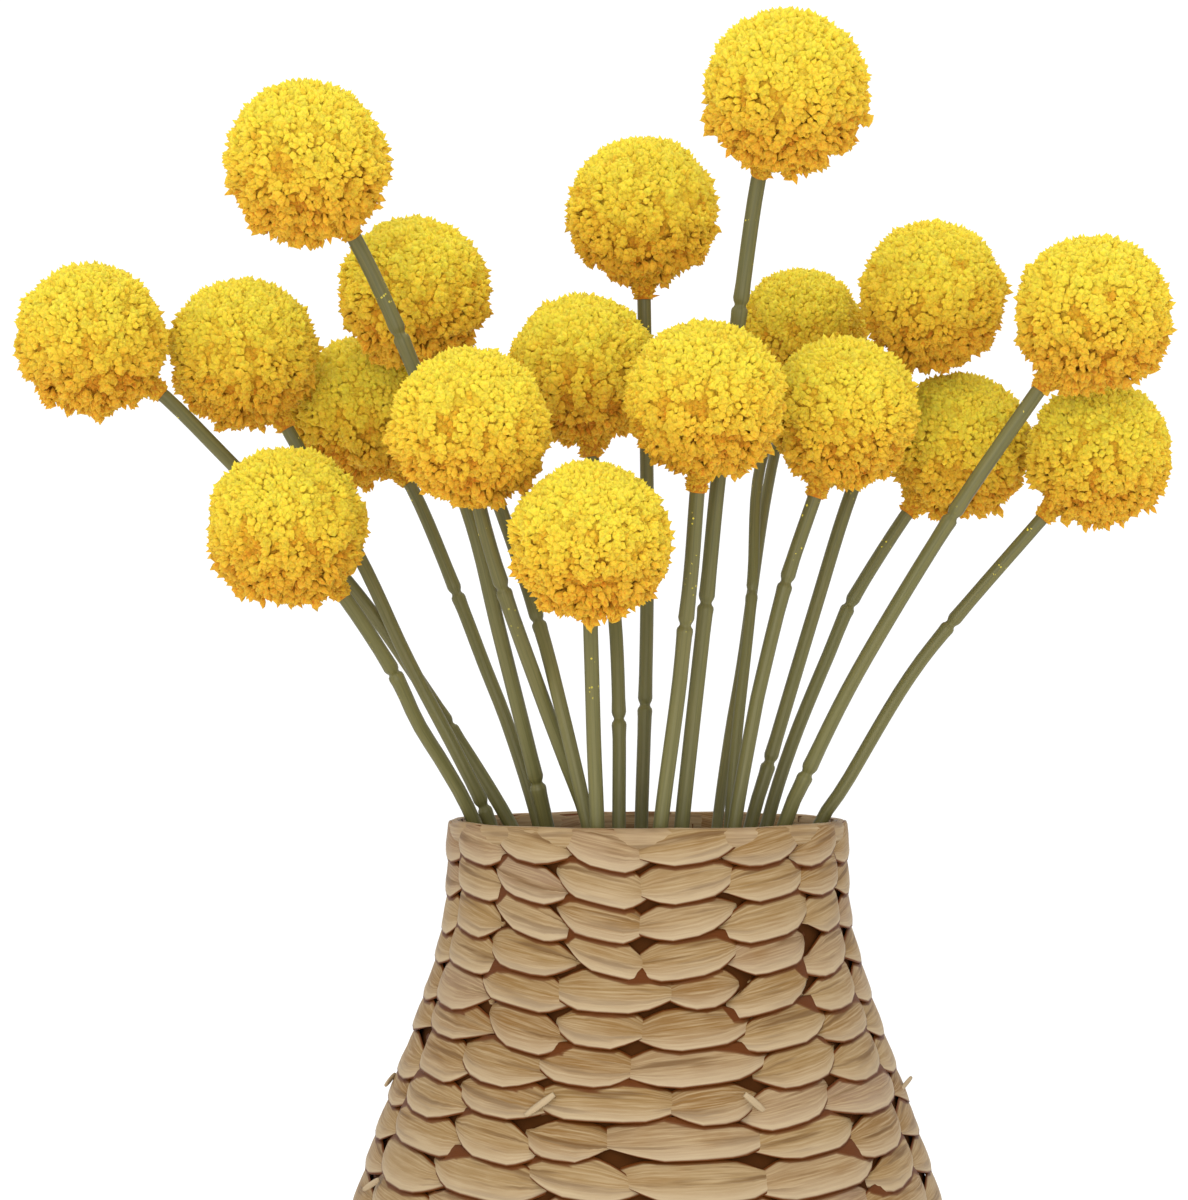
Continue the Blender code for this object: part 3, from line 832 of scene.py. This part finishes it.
def stem_stations(dense, run, joints):
    """Distances along the stem at which it has a ring, in order, and how it swells at each."""
    stations = {}
    for height in joints:
        middle = joint_place(dense, run, height * MM)
        for side, swell in JOINT_PROFILE:
            stations[middle + side * MM] = swell
    marks = sorted(stations)
    top = run[-2] + PLUG_LENGTH
    count = round(top / STEM_STEP)
    for k in range(count + 1):
        distance = top * k / count
        if all(abs(distance - mark) > STEM_STEP * 0.3 for mark in marks):
            stations[distance] = 1.0
    return sorted(stations.items())


def swept_mesh(name, places, swells, radius):
    """A round bar through the given places, scaled at each, with closed ends."""
    curve = bpy.data.curves.new(name, "CURVE")
    curve.dimensions = "3D"
    curve.bevel_depth = radius
    curve.bevel_resolution = 4
    curve.use_fill_caps = True
    spline = curve.splines.new("POLY")
    spline.use_smooth = True
    spline.points.add(len(places) - 1)
    for point, place, swell in zip(spline.points, places, swells):
        point.co = (*place, 1.0)
        point.radius = swell
    guide = bpy.data.objects.new(name + "_line", curve)
    bpy.context.scene.collection.objects.link(guide)
    bpy.context.view_layer.update()
    mesh = bpy.data.meshes.new_from_object(guide.evaluated_get(bpy.context.evaluated_depsgraph_get()))
    bpy.data.objects.remove(guide)
    mesh.name = name
    mesh.shade_smooth()
    return mesh


def make_stem(name, ball, radius, points, joints, material):
    """A jointed stem, swept along its route and pinched at each joint. It carries its lengthwise map in
    metres, and each point is marked with how near the ball it is."""
    dense = full_route(ball, radius, points)
    run = lengths_along(dense)
    distances, swells = zip(*stem_stations(dense, run, joints))
    places = [point_at(dense, run, distance) for distance in distances]
    mesh = swept_mesh(name, places, swells, STEM_TO_BALL * radius * MM)
    mesh.materials.clear()
    mesh.materials.append(material)
    made = bpy.data.objects.new(name, mesh)
    bpy.context.scene.collection.objects.link(made)
    corners = corner_points(mesh)
    centres = np.array(places)
    near = np.argmin(np.linalg.norm(corners[:, None] - centres[None], axis=2), axis=1)
    along = np.array(distances)[near]
    across = corners - centres[near]
    round_it = np.arctan2(across[:, 1], across[:, 0]) * STEM_MAP_RADIUS
    lay_map(made, np.stack([round_it, along], axis=1))
    near_ball = np.clip(1 - (run[-2] - along) / CRUMBED_LENGTH, 0, 1)
    paint(made, "stem", near_ball[:, None])
    return made


# Vase


def strand_kind(sides, cuts):
    """One strand length, unbent: along X from -1 to 1, across Z, with its thickness in Y."""
    bm = bmesh.new()
    bmesh.ops.create_cone(
        bm, cap_ends=True, segments=sides, radius1=1, radius2=1, depth=2,
        matrix=Matrix.Rotation(math.pi / 2, 4, "Y"),
    )
    for cut in cuts:
        bmesh.ops.bisect_plane(
            bm, geom=bm.verts[:] + bm.edges[:] + bm.faces[:], plane_co=(cut, 0, 0), plane_no=(1, 0, 0)
        )
    return mesh_arrays(bm)


def fall_of(stake):
    """A strand falls towards the front from both sides: 1 if it runs down the way it is counted."""
    if stake == STAKES // 2:
        return 0.0
    return 1.0 if stake > STAKES // 2 else -1.0


def stake_angles(row, draw):
    """Where one course passes behind the stakes: nearly even, looser at the front lower down."""
    pitch = 2 * math.pi / STAKES
    settled = min(row / 6, 1.0)
    angles = -math.pi / 2 + np.arange(STAKES) * pitch + draw.normal(0, 0.03 + 0.05 * settled, STAKES) * pitch
    angles[0] += (-0.12 + draw.choice((-0.22, 0.0, 0.18)) * (settled > 0.6)) * pitch
    return np.append(angles, angles[0] + 2 * math.pi)


def strand_outline(along, across, draw):
    """How wide a strand is at each of its points, as a share of its half height: pointed at its ends."""
    leaning = np.clip(np.abs(along - draw.normal(0.0, 0.12) * across), 0, 1)
    shoulder = draw.uniform(*STRAND_SHOULDER)
    ended = np.clip((leaning - shoulder) / (1 - shoulder), 0, 1)
    return 1 - STRAND_TAPER * ended ** draw.uniform(*STRAND_TAPER_POWER)


def strand_line(along, level, slant, draw):
    """How far below the rim the middle of a strand runs, slanting and drooping."""
    line = level + draw.normal(0, STRAND_STRAY) * MM + slant * along
    return line + draw.normal(0, STRAND_DROOP) * MM * (1 - along**2)


def strand_relief(along, across, thick, shape, draw):
    """How far each point of a strand stands off the bed it lies on."""
    far = np.abs(along)
    crown = STRAND_CROWN * (1 - far**2) - STRAND_TUCK * far**4
    lap = -STRAND_LAP * across * (1 - far**3)
    crease = draw.uniform(-0.5, 0.5)
    fold = STRAND_CREASE * np.clip(1 - np.abs(across - crease) / 0.5, 0, 1) * draw.uniform(-1.0, 0.3)
    girth = STRAND_THICK * (0.5 + 0.5 * shape)
    return crown + lap - thick * girth + fold * (thick < 0.1) * (1 - far**2)


def hem_marks(angle):
    """Where these bearings lie in the list of hem heights."""
    return np.round(angle / (2 * math.pi) * HEM_BEARINGS).astype(int) % HEM_BEARINGS


def add_to_hem(hem, angle, down, lower):
    """Notes how low a strand's lower edge hangs at each bearing."""
    order = lower[np.argsort(angle[lower])]
    bearings = np.linspace(angle[order[0]], angle[order[-1]], 90)
    np.maximum.at(hem, hem_marks(bearings), np.interp(bearings, angle[order], down[order]))


def round_the_vase(out, angle, down):
    """Points this far from the axis, at these bearings and depths below the rim."""
    return np.stack([out * np.cos(angle), out * np.sin(angle), VASE_HEIGHT - down], axis=1)


def straw_piece(name, material, points, faces, values, maps):
    """One object of many strands, with their colours and lengthwise maps."""
    made = object_from(name, np.concatenate(points), np.concatenate(faces), material)
    paint(made, "strand", np.concatenate(values))
    lay_map(made, np.concatenate(maps))
    return made


def wound_strands(name, material, kind, inside, seed):
    """All the strand lengths of one face of the wall, course by course, each bent round the vase."""
    draw = np.random.default_rng(seed)
    corners, triangles = kind
    if inside:
        triangles = triangles[:, ::-1]
    along, thick, across = corners.T
    lower = np.flatnonzero(across < across.min() + 0.02)
    course = VASE_HEIGHT / COURSES
    depths = np.arange(-4, 185, 0.5) * MM
    radii = np.array([outline_radius(depth) for depth in depths])
    hem = np.full(HEM_BEARINGS, -course)
    points, faces, values, maps = [], [], [], []
    for row in range(COURSES):
        angles = stake_angles(row, draw)
        level = (row + 0.5) * course
        hem_above, hem = hem, np.full(HEM_BEARINGS, level)
        for stake in range(STAKES):
            middle = (angles[stake] + angles[stake + 1]) / 2
            reach = (angles[stake + 1] - angles[stake]) / 2 * draw.uniform(*STRAND_REACH)
            slant = fall_of(stake) * draw.uniform(*STRAND_SLANT) * MM
            if stake in (0, STAKES - 1) and row >= STEEP_COURSES:
                slant *= draw.uniform(0.2, 0.8)
            half_high = course * draw.uniform(*STRAND_HALF_HIGH)
            shape = strand_outline(along, across, draw)
            line = strand_line(along, level, slant, draw)
            down = np.clip(line - across * half_high * shape, 0.45 * MM, VASE_HEIGHT - 0.02 * MM)
            relief = strand_relief(along, across, thick, shape, draw)
            skin = np.interp(down, depths, radii)
            if inside:
                bed = skin - STRAND_SWELL - WALL + INNER_STRAND_PROUD
                out = bed + INNER_STRAND_BOW * along**2 + thick * INNER_STRAND_THICK
            else:
                out = np.minimum(skin - STRAND_BED + relief, skin - 0.15 * MM)
            angle = middle + along * reach
            faces.append(triangles + len(points) * len(corners))
            points.append(round_the_vase(out, angle, down))
            # Painted channels: a random tint; the height across the strand, whose lower edge gets a painted
            # highlight; the clearance below the course above, browned there partly as stain and partly as
            # painted shadow; and the outline, browned partly as stain and partly as painted shade.
            tint = np.full(len(along), draw.uniform(0, 1))
            clear = np.clip((down - hem_above[hem_marks(angle)]) / HEM_SHADE + 0.5, 0, 1)
            rim = np.clip((1 - np.abs(across)) * half_high * shape / OUTLINE_STAIN_AND_SHADE, 0, 1)
            values.append(np.stack([tint, across * 0.5 + 0.5, clear, rim], axis=1))
            add_to_hem(hem, angle, down, lower)
            shift = draw.uniform(0, 5, 2)
            maps.append(np.stack([along * reach * out + shift[0], across * half_high + shift[1]], axis=1))
    return straw_piece(name, material, points, faces, values, maps)


def loose_ends(name, material, kind):
    """Short strand ends left sticking out between the courses."""
    draw = np.random.default_rng(5)
    corners, triangles = kind
    along, thick, across = corners.T
    points, faces, values, maps = [], [], [], []
    for k, (degrees, depth, length, turn) in enumerate(LOOSE_ENDS):
        bearing = math.radians(degrees - 90)
        slope = math.radians(turn)
        girth = LOOSE_END_GIRTH * (1.0 - 0.35 * np.abs(along) ** 2)
        run = along * length * MM / 2
        side = run * math.cos(slope) - across * girth * math.sin(slope)
        fall = run * math.sin(slope) + across * girth * math.cos(slope)
        skin = outline_radius(depth * MM)
        lift = (0.5 + 0.9 * along * math.copysign(1, turn * -degrees)) * MM
        out = skin - 0.6 * MM + lift - thick * 0.35 * MM
        points.append(round_the_vase(out, bearing + side / skin, depth * MM + fall))
        faces.append(triangles + k * len(corners))
        flat = np.ones(len(along))
        # A middling tint, much of the painted lower-edge highlight, and no brown.
        values.append(np.stack([flat * 0.6, flat * 0.1, flat, flat], axis=1))
        maps.append(np.stack([run + draw.uniform(0, 5), across * girth], axis=1))
    return straw_piece(name, material, points, faces, values, maps)


def ring_map(made, tint):
    """Lengthwise map and colours for a piece turned round the axis, as if one strand ran round it."""
    corners = corner_points(made.data)
    radius = np.linalg.norm(corners[:, :2], axis=1)
    angle = np.arctan2(corners[:, 1], corners[:, 0])
    lay_map(made, np.stack([angle * radius, corners[:, 2] + radius], axis=1))
    shades = tint + 0.3 * np.sin(angle * 7) * np.sin(angle * 3 + 1)
    flat = np.ones(len(corners))
    # A little of the painted lower-edge highlight, and no brown.
    paint(made, "strand", np.stack([shades, flat * 0.35, flat, flat], axis=1))


def squarish(value):
    """A sine or cosine flattened towards 1 and -1, so that a circle drawn with it is nearly square."""
    return math.copysign(abs(value) ** RIM_SQUARENESS, value)


def rim_border(name, material):
    """The rounded strand that finishes the mouth, wound a little unevenly."""
    outer = outline_radius(0.0) - 1.0 * MM
    inner = outline_radius(0.0) - STRAND_SWELL - WALL + 0.1 * MM
    middle, half = (outer + inner) / 2, (outer - inner) / 2
    half_tall = RIM_TALL / 2
    turns = [2 * math.pi * k / RIM_SIDES for k in range(RIM_SIDES)]
    profile = [
        (middle + half * squarish(math.cos(t)), VASE_HEIGHT - half_tall + half_tall * squarish(math.sin(t)))
        for t in turns
    ]
    made = turned(name, profile, material, steps=150)
    for vert in made.data.vertices:
        angle = math.atan2(vert.co.y, vert.co.x)
        uneven = noise.noise(Vector((math.cos(angle) * 4, math.sin(angle) * 4, vert.co.z * 300)))
        vert.co.z -= (0.25 + 0.25 * uneven) * MM
        vert.co.xy *= 1 - (0.15 + 0.2 * uneven) * MM / middle
    ring_map(made, 0.6)
    return made


def base_coils(name, material):
    """The base: one strand coiled flat, seen from below and down the mouth."""
    outer = outline_radius(VASE_HEIGHT) - STRAND_SWELL - WALL - SEAT_GAP
    wide = outer / BASE_COILS
    under, upper = [], []
    for coil in range(BASE_COILS):
        for share, swell in BASE_COIL_SECTION:
            hollow = BASE_COIL_RISE * (1 - swell)
            under.append(((coil + share) * wide, hollow))
            upper.append(((coil + share) * wide, BASE_THICK - hollow))
    profile = [(0.0, 0.5 * MM), *under, (outer, BASE_THICK / 2), *upper[::-1], (0.0, BASE_THICK)]
    made = turned(name, profile, material)
    ring_map(made, 0.4)
    return made


def vase_lining(name, material):
    """The thin wall behind the strands, which closes the gaps between them."""
    depths = np.linspace(1.5 * MM, VASE_HEIGHT, 40)
    outer = [(outline_radius(depth) - STRAND_BED - LINING_BACK, VASE_HEIGHT - depth) for depth in depths]
    inner = [(radius - LINING_THICK, height) for radius, height in reversed(outer)]
    return turned(name, outer + inner, material)


# Setting


def add_floor():
    bm = bmesh.new()
    bmesh.ops.create_grid(bm, x_segments=1, y_segments=1, size=FLOOR_HALF)
    mesh = bpy.data.meshes.new("floor")
    bm.to_mesh(mesh)
    bm.free()
    made, shader, _ = new_material("floor_white")
    set_evenly(shader, {"Base Color": grey(1.0), "Roughness": 1.0, "Specular IOR Level": 0.0})
    mesh.materials.append(made)
    floor = bpy.data.objects.new("floor", mesh)
    bpy.context.scene.collection.objects.link(floor)


def add_light(name, place, target, size, power):
    data = bpy.data.lights.new(name, "AREA")
    data.size = size
    data.energy = power
    light = bpy.data.objects.new(name, data)
    light.location = place
    light.rotation_euler = (Vector(target) - Vector(place)).to_track_quat("-Z", "Y").to_euler()
    bpy.context.scene.collection.objects.link(light)


def light_scene():
    world = bpy.data.worlds.new("studio")
    bpy.context.scene.world = world
    world.use_nodes = True
    background = world.node_tree.nodes["Background"]
    set_evenly(background, {"Color": grey(1.0), "Strength": SKY_STRENGTH})
    for lamp in LAMPS:
        add_light(*lamp)
    bpy.context.scene.view_settings.view_transform = "Standard"


def add_camera():
    data = bpy.data.cameras.new("camera")
    data.sensor_fit = "HORIZONTAL"
    data.sensor_width = SENSOR_WIDTH
    data.lens = SENSOR_WIDTH * EYE_DISTANCE / PICTURE_WIDTH
    data.clip_start = 0.05
    camera = bpy.data.objects.new("camera", data)
    camera.location = (EYE_X, -EYE_DISTANCE, VASE_HEIGHT + EYE_HEIGHT_OVER_RIM)
    camera.rotation_euler = (math.pi / 2, 0, 0)
    bpy.context.scene.collection.objects.link(camera)
    bpy.context.scene.camera = camera


def main():
    add_camera()
    light_scene()
    add_floor()
    grain = grain_group()
    florets = floret_finish()
    green = stem_finish(grain)
    straw = strand_finish(grain)
    draw = random.Random(3)
    kinds = [floret_kind(draw, k >= FLORET_KINDS - POINTED_KINDS) for k in range(FLORET_KINDS)]
    for seed, (letter, ball, radius, points, joints) in enumerate(BUNCH):
        stem = make_stem("fine_stem_" + letter, ball, radius, points, joints, green)
        settle(stem, "stem_" + letter)
        head = make_ball("fine_ball_" + letter, ball, radius, points, seed, kinds, florets)
        settle(head, "ball_" + letter)
    outer_kind = strand_kind(STRAND_SIDES, STRAND_CUTS)
    inner_kind = strand_kind(INNER_STRAND_SIDES, INNER_STRAND_CUTS)
    wall_pieces = (
        wound_strands("vase_strands", straw, outer_kind, False, 7),
        wound_strands("vase_inner_strands", straw, inner_kind, True, 8),
        loose_ends("vase_loose_ends", straw, inner_kind),
        vase_lining("vase_lining", backing_finish()),
        rim_border("vase_rim", straw),
    )
    for piece in wall_pieces:
        settle(piece, "vase_wall")
    settle(base_coils("vase_base_coils", straw), "vase_base")


main()
